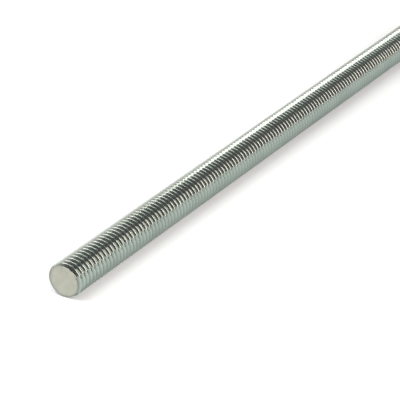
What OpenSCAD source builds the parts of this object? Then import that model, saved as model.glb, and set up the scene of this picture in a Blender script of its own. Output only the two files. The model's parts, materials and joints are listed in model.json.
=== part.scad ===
// Threaded rod: a straight length of round steel bar with a right-hand metric thread
// from end to end. It lies along +X, with the centre of its near end face at the origin.

/* [Rod] */
// Length of the rod over both end faces
rod_length = 170; // [40:1:240]

/* [Thread] */
// Diameter over the crests of the thread
thread_d = 8; // [7:0.1:12]
// Distance along the rod from one crest to the next
pitch = 1.25; // [1:0.05:2]
// Angle between the two flanks of a groove
flank_angle = 60; // [50:1:75]
// Width of the flat left along each crest
crest_flat = 0.16; // [0.1:0.01:0.3]
// Place round the near end face where the bottom of the groove meets it, up from +Y
groove_start_angle = 130; // [0:5:360]

/* [Ends] */
// Diameter of the flat at each sawn end, inside the small chamfer that breaks its edge
end_face_d = 7.7; // [4:0.1:7.9]
// Angle between that chamfer and the rod's axis
chamfer_angle = 45; // [30:1:60]

/* [Hidden] */

// The thread's form
crest_r = thread_d / 2;
groove_half_width = (pitch - crest_flat) / 2;
groove_depth = groove_half_width / tan(flank_angle / 2);
root_r = crest_r - groove_depth;

// The stock is threaded a little longer than the rod, and then cut to length at both ends
spare_turns = 4;
stock_turns = ceil(rod_length / pitch) + spare_turns;
cutter_length = (spare_turns + 1) * pitch;
cutter_r = crest_r + pitch;

// Steps round each turn: as many as keep the stock's surface within its limit of triangles
facet_limit = 11900;
points_per_step = 3;
steps_per_turn = floor(facet_limit / (2 * points_per_step * stock_turns));
step_angle = 360 / steps_per_turn;
stock_steps = stock_turns * steps_per_turn;

// Angle of a step along the thread, up from +Y, with a flat of the rod at its underside
function step_turn(i) = (i + 0.5) * step_angle - 90;

// Where the bottom of the groove is along the rod, at that step
function step_x(i) = ((step_turn(i) - groove_start_angle) / 360 - 1) * pitch;

// A point on the thread's surface, from its place along the rod, radius and angle
function thread_point(x, r, a) = [x, r * cos(a), r * sin(a)];

// The three points of one step: the bottom of the groove and the two edges of the crest
function step_points(i) = let (a = step_turn(i), root_x = step_x(i)) [
    thread_point(root_x, root_r, a),
    thread_point(root_x + groove_half_width, crest_r, a),
    thread_point(root_x + groove_half_width + crest_flat, crest_r, a)
];

// The two triangles that join points a and b of one step to c and d of the next
function joined(a, b, c, d) = [[a, b, c], [b, d, c]];

// The triangles that close an open rim to one centre point
function closed(rim, centre) = [
    for (i = [0 : len(rim) - 1]) [rim[i], rim[(i + 1) % len(rim)], centre]
];

module thread_stock() {
    n = points_per_step;
    turn = n * steps_per_turn;
    last = n * stock_steps;
    near_centre = last + n;
    far_centre = near_centre + 1;
    points = [
        for (i = [0 : stock_steps]) each step_points(i),
        [step_x(0), 0, 0],
        [step_x(stock_steps) + pitch, 0, 0]
    ];
    flanks_up_and_crests = [
        for (i = [0 : n : last - n], p = [i : i + n - 2])
            each joined(p, p + 1, p + n, p + n + 1)
    ];
    flanks_down = [
        for (i = [0 : n : last - turn - n])
            each joined(i + n - 1, i + turn, i + 2 * n - 1, i + turn + n)
    ];
    near_rim = [2, 1, for (i = [0 : n : turn]) i];
    far_rim = [last, last + 1, for (i = [last : -n : last - turn]) i + n - 1];
    polyhedron(
        points,
        concat(flanks_up_and_crests, flanks_down, closed(near_rim, near_centre), closed(far_rim, far_centre)),
        convexity = 10
    );
}

// What is cut away at the near end: all that lies past the end face and outside its chamfer
module end_cutter() {
    face_r = end_face_d / 2;
    chamfer_length = (cutter_r - face_r) / tan(chamfer_angle);
    rotate([0, 90, 0])
        rotate_extrude($fn = 36)
            polygon([
                [0, 0],
                [face_r, 0],
                [cutter_r, chamfer_length],
                [cutter_r, -cutter_length],
                [0, -cutter_length]
            ]);
}

module threaded_rod() {
    color("#aeb3ab")
        difference() {
            thread_stock();
            end_cutter();
            translate([rod_length, 0, 0])
                mirror([1, 0, 0])
                    end_cutter();
        }
}

threaded_rod();
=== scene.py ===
"""Threaded rod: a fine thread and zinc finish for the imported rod, with its floor, light and camera."""

import json
import math

import bpy
from mathutils import Euler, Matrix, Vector


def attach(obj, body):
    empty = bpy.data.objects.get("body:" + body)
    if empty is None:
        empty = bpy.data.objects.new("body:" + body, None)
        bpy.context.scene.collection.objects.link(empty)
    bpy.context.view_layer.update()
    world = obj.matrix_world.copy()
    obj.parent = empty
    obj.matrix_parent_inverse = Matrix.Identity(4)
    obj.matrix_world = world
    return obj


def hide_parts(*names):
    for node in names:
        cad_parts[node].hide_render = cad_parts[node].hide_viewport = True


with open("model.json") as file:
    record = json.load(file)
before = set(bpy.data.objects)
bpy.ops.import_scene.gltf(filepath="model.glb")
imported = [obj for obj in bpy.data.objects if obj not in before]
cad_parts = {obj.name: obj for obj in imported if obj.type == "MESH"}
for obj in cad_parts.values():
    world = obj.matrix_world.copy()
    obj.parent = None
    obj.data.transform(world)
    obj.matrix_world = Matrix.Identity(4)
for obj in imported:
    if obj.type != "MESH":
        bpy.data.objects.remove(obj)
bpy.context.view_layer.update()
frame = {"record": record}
mounts = {mount["name"]: mount for mount in frame["record"]["mounts"]}
near_end = Vector(mounts["near_end"]["pos_m"])
far_end = Vector(mounts["far_end"]["pos_m"])
MM = 0.001

# Points closer together than this are one point
SAME_POINT = 0.001 * MM
# Faces that turn more than this at an edge keep it sharp: the crests and roots shade round
SHARP_TURN = math.radians(32)
# A face whose normal lies this much along the rod is part of a sawn end
SAWN_FACING = 0.88
# Turns of stock past both ends together, cut off again
SPARE_TURNS = 4
FLOOR_WIDTH = 8
# Strength of the floor's own glow, as the camera and the metal see it
FLOOR_GLOW = 0.12

bl_info = {
    "name": "Threaded rod",
    "version": (1, 0, 0),
    "blender": (4, 5, 0),
    "location": "3D View > Sidebar > Rod",
    "description": "Models a length of zinc-plated threaded rod on a white floor",
    "category": "Object",
}


def size_property(name, description, default_mm):
    """A length that the sidebar shows as a distance."""
    return bpy.props.FloatProperty(
        name=name, description=description, default=default_mm * MM, unit="LENGTH", precision=5
    )


def angle_property(name, description, default_degrees):
    return bpy.props.FloatProperty(
        name=name, description=description, default=math.radians(default_degrees), subtype="ANGLE"
    )


def colour_property(name, description, hex_colour):
    return bpy.props.FloatVectorProperty(
        name=name, description=description, default=linear(hex_colour), size=4, subtype="COLOR", min=0, max=1
    )


def linear(hex_colour):
    """An sRGB colour such as "#9aa7a0" as the linear values that a shader takes."""
    channels = [int(hex_colour[i : i + 2], 16) / 255 for i in (1, 3, 5)]
    return tuple(c / 12.92 if c <= 0.04045 else ((c + 0.055) / 1.055) ** 2.4 for c in channels) + (1.0,)


class RodSizes(bpy.types.PropertyGroup):
    pitch: size_property("Pitch", "Distance along the rod from one crest to the next", 1.25)
    crest_diameter: size_property("Crest diameter", "Diameter over the crests, just under 8 mm", 7.88)
    crest_rounding: size_property("Crest rounding", "Radius that rolling leaves along each crest", 0.2)
    groove_start: angle_property("Groove start", "Where the groove meets the near end, up from +Y", 130)
    face_diameter: size_property("Face diameter", "Flat middle of an end face, inside its edge", 6.8)
    edge_rounding: size_property("Edge rounding", "Radius of the rolled-over edge of an end face", 1.2)
    edge_slope: angle_property("Edge slope", "How far that edge turns away from the end face", 30)
    steps_per_turn: bpy.props.IntProperty(
        name="Steps per turn", description="Flat steps in one turn of the thread", default=48, min=12
    )


class RodFinish(bpy.types.PropertyGroup):
    zinc: colour_property("Zinc", "Bright zinc plating on the thread", "#a4b0a9")
    zinc_dull: colour_property("Dull zinc", "Plating where it is thinner and greener", "#919e96")
    sawn: colour_property("Sawn steel", "Plating over the sawn end faces", "#c4c6bc")
    sawn_dull: colour_property("Dull sawn steel", "Darker mottling on the end faces", "#9da195")


class StageSettings(bpy.types.PropertyGroup):
    camera_offset: bpy.props.FloatVectorProperty(
        name="Camera offset",
        description="From the centre of the near end face to the camera",
        default=(-0.2809, -0.2065, 0.1910),
        subtype="TRANSLATION",
        unit="LENGTH",
    )
    camera_drop: angle_property("Camera drop", "How far the camera looks down", 26.4)
    camera_heading: angle_property("Camera heading", "Which way it looks, round from +X to +Y", 31.74)
    focal_length: bpy.props.FloatProperty(
        name="Focal length", description="Lens in mm", default=173.9, min=1
    )
    floor_colour: colour_property("Floor", "White photographic paper", "#e4eded")


def add_node(tree, kind, inputs=None, **settings):
    """Adds a node, sets its own settings, and links or sets its inputs by name or number."""
    node = tree.nodes.new(kind)
    for name, value in settings.items():
        setattr(node, name, value)
    for name, value in (inputs or {}).items():
        if isinstance(value, bpy.types.NodeSocket):
            tree.links.new(value, node.inputs[name])
        else:
            node.inputs[name].default_value = value
    return node


def new_material(name):
    material = bpy.data.materials.new(name)
    material.use_nodes = True
    return material, material.node_tree, material.node_tree.nodes["Principled BSDF"]


def from_axis(tree, place):
    """How far a point of the rod lies from its axis."""
    across = add_node(tree, "ShaderNodeVectorMath", {0: place, 1: (0, 1, 1)}, operation="MULTIPLY")
    return add_node(tree, "ShaderNodeVectorMath", {0: across.outputs[0]}, operation="LENGTH").outputs["Value"]


def darkened(tree, colour, factor):
    return add_node(
        tree, "ShaderNodeVectorMath", {0: colour, "Scale": factor}, operation="SCALE"
    ).outputs[0]


def rolled_zinc(finish):
    """Bright zinc plating over a rolled steel thread: a grey metal with a cool green cast, glossy
    but blurred, with fine streaks that run round the rod as the rolling dies leave them, and with painted
    shade darkening the bottom of the grooves."""
    material, tree, shader = new_material("rolled_zinc")
    place = add_node(tree, "ShaderNodeTexCoord").outputs["Object"]
    # Clouds of thinner plating, about 6 mm across
    clouds = add_node(tree, "ShaderNodeTexNoise", {"Vector": place, "Scale": 1 / (6 * MM), "Detail": 4})
    # Painted shade: the plating is darkened towards the bottom of the grooves, where the shade between the
    # crests falls
    painted_groove_shade = add_node(
        tree,
        "ShaderNodeMapRange",
        {
            "Value": from_axis(tree, place),
            "From Min": 3.3 * MM,
            "From Max": 3.8 * MM,
            "To Min": 0.6,
            "To Max": 1.0,
        },
    )
    # Streaks round the rod, 0.15 mm apart along it and several mm long
    squeezed = add_node(tree, "ShaderNodeMapping", {"Vector": place, "Scale": (1 / (0.15 * MM), 220, 220)})
    streaks = add_node(tree, "ShaderNodeTexNoise", {"Vector": squeezed.outputs[0], "Scale": 1, "Detail": 2})
    tone = add_node(
        tree,
        "ShaderNodeMix",
        {0: clouds.outputs["Fac"], 6: finish.zinc_dull, 7: finish.zinc},
        data_type="RGBA",
    )
    # The base colour carries the painted shade in the grooves
    tree.links.new(darkened(tree, tone.outputs[2], painted_groove_shade.outputs[0]), shader.inputs["Base Color"])
    roughness = add_node(
        tree, "ShaderNodeMapRange", {"Value": streaks.outputs["Fac"], "To Min": 0.10, "To Max": 0.22}
    )
    tree.links.new(roughness.outputs[0], shader.inputs["Roughness"])
    bump = add_node(
        tree, "ShaderNodeBump", {"Height": streaks.outputs["Fac"], "Strength": 0.3, "Distance": 0.02 * MM}
    )
    tree.links.new(bump.outputs[0], shader.inputs["Normal"])
    shader.inputs["Metallic"].default_value = 1.0
    return material


def sawn_zinc(finish):
    """Zinc over a sawn steel face: the same metal left matte, pale and slightly warm, with faint
    mottling and shallow straight saw marks, and with painted shade darkening the rolled-over rim."""
    material, tree, shader = new_material("sawn_zinc")
    place = add_node(tree, "ShaderNodeTexCoord").outputs["Object"]
    # Mottling about 1.5 mm across
    mottling = add_node(tree, "ShaderNodeTexNoise", {"Vector": place, "Scale": 1 / (1.5 * MM), "Detail": 5})
    # Painted shade: the rolled-over rim is painted darker, for the darker surroundings that its turned-away
    # edge reflects
    rim = add_node(
        tree,
        "ShaderNodeMapRange",
        {
            "Value": from_axis(tree, place),
            "From Min": 3.0 * MM,
            "From Max": 3.9 * MM,
            "To Min": 1.0,
            "To Max": 0.6,
        },
        interpolation_type="SMOOTHSTEP",
    )
    # Saw marks 0.12 mm apart
    squeezed = add_node(tree, "ShaderNodeMapping", {"Vector": place, "Scale": (1, 300, 1 / (0.12 * MM))})
    marks = add_node(tree, "ShaderNodeTexNoise", {"Vector": squeezed.outputs[0], "Scale": 1, "Detail": 1})
    tone = add_node(
        tree,
        "ShaderNodeMix",
        {0: mottling.outputs["Fac"], 6: finish.sawn_dull, 7: finish.sawn},
        data_type="RGBA",
    )
    # The base colour carries the painted shade on the rim
    tree.links.new(darkened(tree, tone.outputs[2], rim.outputs[0]), shader.inputs["Base Color"])
    roughness = add_node(
        tree, "ShaderNodeMapRange", {"Value": mottling.outputs["Fac"], "To Min": 0.5, "To Max": 0.65}
    )
    tree.links.new(roughness.outputs[0], shader.inputs["Roughness"])
    bump = add_node(
        tree, "ShaderNodeBump", {"Height": marks.outputs["Fac"], "Strength": 0.2, "Distance": 0.02 * MM}
    )
    tree.links.new(bump.outputs[0], shader.inputs["Normal"])
    shader.inputs["Metallic"].default_value = 1.0
    return material


def arc(centre, radius, first, last, pieces):
    """Points of an arc in the plane of a profile, from one angle to another, in degrees."""
    angles = [math.radians(first + (last - first) * i / pieces) for i in range(pieces + 1)]
    return [(centre[0] + radius * math.cos(a), centre[1] + radius * math.sin(a)) for a in angles]


def thread_profile(sizes):
    """One pitch of the thread as (along the rod, out from its axis), from groove to groove: a
    60 degree metric thread with the rounded root and crest that rolling gives."""
    pitch = sizes.pitch
    crest_r = sizes.crest_diameter / 2
    crest_rounding = sizes.crest_rounding
    sharp_height = pitch * math.sqrt(3) / 2
    root_rounding = sharp_height / 6
    root_r = crest_r - sharp_height + crest_rounding + root_rounding
    root = arc((0, root_r + root_rounding), root_rounding, 270, 330, 2)
    crest = arc((pitch / 2, crest_r - crest_rounding), crest_rounding, 150, 90, 3)
    half = root + crest
    return half + [(pitch - x, r) for x, r in reversed(half[:-1])]


def cut_profile(sizes, rod_length):
    """The outline that the stock is turned and cut to: at each end a flat face whose edge is
    rolled over a little."""
    face_r = sizes.face_diameter / 2
    slope = math.degrees(sizes.edge_slope)
    edge = arc((sizes.edge_rounding, face_r), sizes.edge_rounding, 180, 180 - slope, 4)
    outer_r = sizes.crest_diameter / 2 + sizes.pitch
    outer_x = edge[-1][0] + (outer_r - edge[-1][1]) * math.tan(sizes.edge_slope)
    half = [(0, 0)] + edge + [(outer_x, outer_r)]
    return half + [(rod_length - x, r) for x, r in reversed(half)]


def deselect_everything():
    if bpy.context.object and bpy.context.object.mode != "OBJECT":
        bpy.ops.object.mode_set(mode="OBJECT")
    bpy.ops.object.select_all(action="DESELECT")


def apply_modifier(piece, kind, **settings):
    modifier = piece.modifiers.new(kind.title(), kind)
    for name, value in settings.items():
        setattr(modifier, name, value)
    bpy.ops.object.modifier_apply(modifier=modifier.name)


def turned(name, profile, steps, turns=1, advance=0.0):
    """A profile in the XY plane turned round the X axis, each turn moved along it by advance."""
    deselect_everything()
    bpy.ops.mesh.primitive_plane_add(size=MM)
    piece = bpy.context.object
    piece.name = name
    bpy.ops.object.mode_set(mode="EDIT")
    bpy.ops.mesh.merge(type="CENTER")
    bpy.ops.transform.translate(value=(profile[0][0], profile[0][1], 0))
    for (x0, r0), (x1, r1) in zip(profile, profile[1:]):
        bpy.ops.mesh.extrude_vertices_move(TRANSFORM_OT_translate={"value": (x1 - x0, r1 - r0, 0)})
    bpy.ops.object.mode_set(mode="OBJECT")
    apply_modifier(
        piece,
        "SCREW",
        axis="X",
        angle=2 * math.pi,
        screw_offset=advance,
        iterations=turns,
        steps=steps,
        render_steps=steps,
        use_merge_vertices=True,
        merge_threshold=SAME_POINT,
    )
    bpy.ops.object.mode_set(mode="EDIT")
    bpy.ops.mesh.select_all(action="SELECT")
    bpy.ops.mesh.remove_doubles(threshold=SAME_POINT)
    bpy.ops.mesh.normals_make_consistent(inside=False)
    bpy.ops.object.mode_set(mode="OBJECT")
    return piece


class ROD_OT_model_rod(bpy.types.Operator):
    """Models the rod with its thread and cuts it to length"""

    bl_idname = "rod.model_rod"
    bl_label = "Model the rod"

    def execute(self, context):
        sizes = context.scene.rod_sizes
        finish = context.scene.rod_finish
        rod_length = (far_end - near_end).length
        turns_before = sizes.groove_start / (2 * math.pi) + SPARE_TURNS / 2
        first_x = near_end.x - turns_before * sizes.pitch
        profile = [(first_x + x, r) for x, r in thread_profile(sizes)]
        turns = math.ceil(rod_length / sizes.pitch) + SPARE_TURNS
        rod = turned("threaded_rod_fine", profile, sizes.steps_per_turn, turns, sizes.pitch)
        self.close_ends(rod_length, sizes.pitch / 2)
        cut = turned("cut", cut_profile(sizes, rod_length), 2 * sizes.steps_per_turn)
        deselect_everything()
        context.view_layer.objects.active = rod
        rod.select_set(True)
        apply_modifier(rod, "BOOLEAN", operation="INTERSECT", solver="EXACT", object=cut)
        bpy.data.objects.remove(cut)
        if not rod.data.polygons:
            raise RuntimeError("the cut to length left nothing of the rod")
        self.clean_cut()
        bpy.ops.object.shade_smooth_by_angle(angle=SHARP_TURN)
        # The flanks shade flat, and only their rounded edges bend the light
        apply_modifier(rod, "WEIGHTED_NORMAL", keep_sharp=True, weight=50)
        self.finish_faces(rod, finish)
        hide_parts("threaded_rod")
        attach(rod, "root")
        return {"FINISHED"}

    def clean_cut(self):
        """Merges the points that the cut leaves on top of each other."""
        bpy.ops.object.mode_set(mode="EDIT")
        bpy.ops.mesh.select_all(action="SELECT")
        bpy.ops.mesh.remove_doubles(threshold=2 * SAME_POINT)
        bpy.ops.mesh.normals_make_consistent(inside=False)
        bpy.ops.object.mode_set(mode="OBJECT")

    def close_ends(self, rod_length, spare):
        """Cuts the stock square, a little past both ends of the rod, and closes it."""
        bpy.ops.object.mode_set(mode="EDIT")
        for place, side in ((near_end.x - spare, -1), (near_end.x + rod_length + spare, 1)):
            bpy.ops.mesh.select_all(action="SELECT")
            bpy.ops.mesh.bisect(
                plane_co=(place, 0, 0), plane_no=(side, 0, 0), use_fill=True, clear_outer=True, threshold=1e-7
            )
        bpy.ops.mesh.select_all(action="SELECT")
        bpy.ops.mesh.normals_make_consistent(inside=False)
        bpy.ops.object.mode_set(mode="OBJECT")

    def finish_faces(self, rod, finish):
        """Gives the end faces the sawn finish and everything else the rolled one."""
        rod.data.materials.clear()
        rod.data.materials.append(rolled_zinc(finish))
        rod.data.materials.append(sawn_zinc(finish))
        for face in rod.data.polygons:
            face.material_index = 1 if abs(face.normal.x) > SAWN_FACING else 0


class ROD_OT_set_stage(bpy.types.Operator):
    """Lays the white floor and sets the light and the camera"""

    bl_idname = "rod.set_stage"
    bl_label = "Set the stage"

    def execute(self, context):
        stage = context.scene.rod_stage
        self.lay_floor(stage)
        self.set_world(context.scene)
        self.hang_lamps()
        self.set_camera(context.scene, stage)
        context.scene.view_settings.view_transform = "Standard"
        return {"FINISHED"}

    def lay_floor(self, stage):
        deselect_everything()
        floor_z = min(v.co.z for v in bpy.data.objects["threaded_rod_fine"].data.vertices)
        bpy.ops.mesh.primitive_plane_add(size=FLOOR_WIDTH, location=(0, 0, floor_z))
        floor = bpy.context.object
        floor.name = "floor"
        bpy.ops.object.transform_apply(location=True, rotation=True, scale=True)
        material, tree, shader = new_material("white_paper")
        shader.inputs["Base Color"].default_value = stage.floor_colour
        shader.inputs["Roughness"].default_value = 0.9
        shader.inputs["Specular IOR Level"].default_value = 0.0
        rays = add_node(tree, "ShaderNodeLightPath")
        seen = add_node(
            tree,
            "ShaderNodeMath",
            {0: rays.outputs["Is Camera Ray"], 1: rays.outputs["Is Glossy Ray"]},
            operation="MAXIMUM",
        )
        lift = add_node(tree, "ShaderNodeMath", {0: seen.outputs[0], 1: FLOOR_GLOW}, operation="MULTIPLY")
        tree.links.new(lift.outputs[0], shader.inputs["Emission Strength"])
        shader.inputs["Emission Color"].default_value = linear("#f2f6fb")
        floor.data.materials.append(material)

    def set_world(self, scene):
        world = bpy.data.worlds.new("studio")
        scene.world = world
        world.use_nodes = True
        tree = world.node_tree
        background = tree.nodes["Background"]
        place = add_node(tree, "ShaderNodeTexCoord").outputs["Generated"]
        direction = add_node(tree, "ShaderNodeSeparateXYZ", {0: place})
        # The room is dim, and darker still towards -X
        room = add_node(
            tree,
            "ShaderNodeMapRange",
            {
                "Value": direction.outputs["X"],
                "From Min": -0.95,
                "From Max": -0.3,
                "To Min": 0.15,
                "To Max": 0.4,
            },
        )
        # A pale wall on the left, brightest straight along +Y
        leftward = add_node(
            tree, "ShaderNodeMath", {0: direction.outputs["Y"], 1: 0.0}, operation="MAXIMUM"
        )
        cubed = add_node(tree, "ShaderNodeMath", {0: leftward.outputs[0], 1: 3.0}, operation="POWER")
        walls = add_node(
            tree,
            "ShaderNodeMath",
            {0: cubed.outputs[0], 1: 2.4, 2: room.outputs[0]},
            operation="MULTIPLY_ADD",
        )
        rays = add_node(tree, "ShaderNodeLightPath")
        strength = add_node(
            tree,
            "ShaderNodeMix",
            {0: rays.outputs["Is Camera Ray"], 2: walls.outputs[0], 3: 1.0},
        )
        tree.links.new(strength.outputs[0], background.inputs["Strength"])
        background.inputs["Color"].default_value = linear("#fff4f4")

    def hang_lamps(self):
        self.hang_lamp("softbox_right", (-0.08, -0.42, 0.26), (0.28, 0.42), 6.9, "#ffeae6")
        self.hang_lamp("softbox_above", (-0.08, 0.05, 0.45), (0.3, 0.22), 4.2, "#f5f8f4")
        self.hang_lamp("softbox_left", (-0.115, 0.165, 0.28), (0.1, 0.19), 7.0, "#fff2ee")

    def hang_lamp(self, name, place, size, brightness, hex_colour):
        """A softbox at a place seen from the near end, turned to the middle of the rod."""
        lamp = bpy.data.lights.new(name, "AREA")
        lamp.shape = "RECTANGLE"
        lamp.size, lamp.size_y = size
        lamp.energy = brightness * math.pi * lamp.size * lamp.size_y
        lamp.color = linear(hex_colour)[:3]
        box = bpy.data.objects.new(name, lamp)
        bpy.context.collection.objects.link(box)
        box.location = near_end + Vector(place)
        towards = (near_end + far_end) / 2 - box.location
        box.rotation_euler = towards.to_track_quat("-Z", "Y").to_euler()

    def set_camera(self, scene, stage):
        camera = bpy.data.cameras.new("camera")
        camera.lens = stage.focal_length
        camera.sensor_width = 36
        holder = bpy.data.objects.new("camera", camera)
        bpy.context.collection.objects.link(holder)
        holder.location = near_end + Vector(stage.camera_offset)
        holder.rotation_euler = Euler(
            (math.pi / 2 - stage.camera_drop, 0, stage.camera_heading - math.pi / 2)
        )
        scene.camera = holder


class ROD_PT_rod(bpy.types.Panel):
    bl_idname = "ROD_PT_rod"
    bl_label = "Threaded rod"
    bl_space_type = "VIEW_3D"
    bl_region_type = "UI"
    bl_category = "Rod"

    def draw(self, context):
        for operator, settings in (
            (ROD_OT_model_rod, (context.scene.rod_sizes, context.scene.rod_finish)),
            (ROD_OT_set_stage, (context.scene.rod_stage,)),
        ):
            self.layout.operator(operator.bl_idname)
            for group in settings:
                for name in group.__annotations__:
                    self.layout.prop(group, name)


CLASSES = (RodSizes, RodFinish, StageSettings, ROD_OT_model_rod, ROD_OT_set_stage, ROD_PT_rod)


def register():
    for each in CLASSES:
        bpy.utils.register_class(each)
    bpy.types.Scene.rod_sizes = bpy.props.PointerProperty(type=RodSizes)
    bpy.types.Scene.rod_finish = bpy.props.PointerProperty(type=RodFinish)
    bpy.types.Scene.rod_stage = bpy.props.PointerProperty(type=StageSettings)


def unregister():
    del bpy.types.Scene.rod_sizes, bpy.types.Scene.rod_finish, bpy.types.Scene.rod_stage
    for each in reversed(CLASSES):
        bpy.utils.unregister_class(each)


def main():
    register()
    bpy.ops.rod.model_rod()
    bpy.ops.rod.set_stage()


if __name__ == "__main__":
    main()
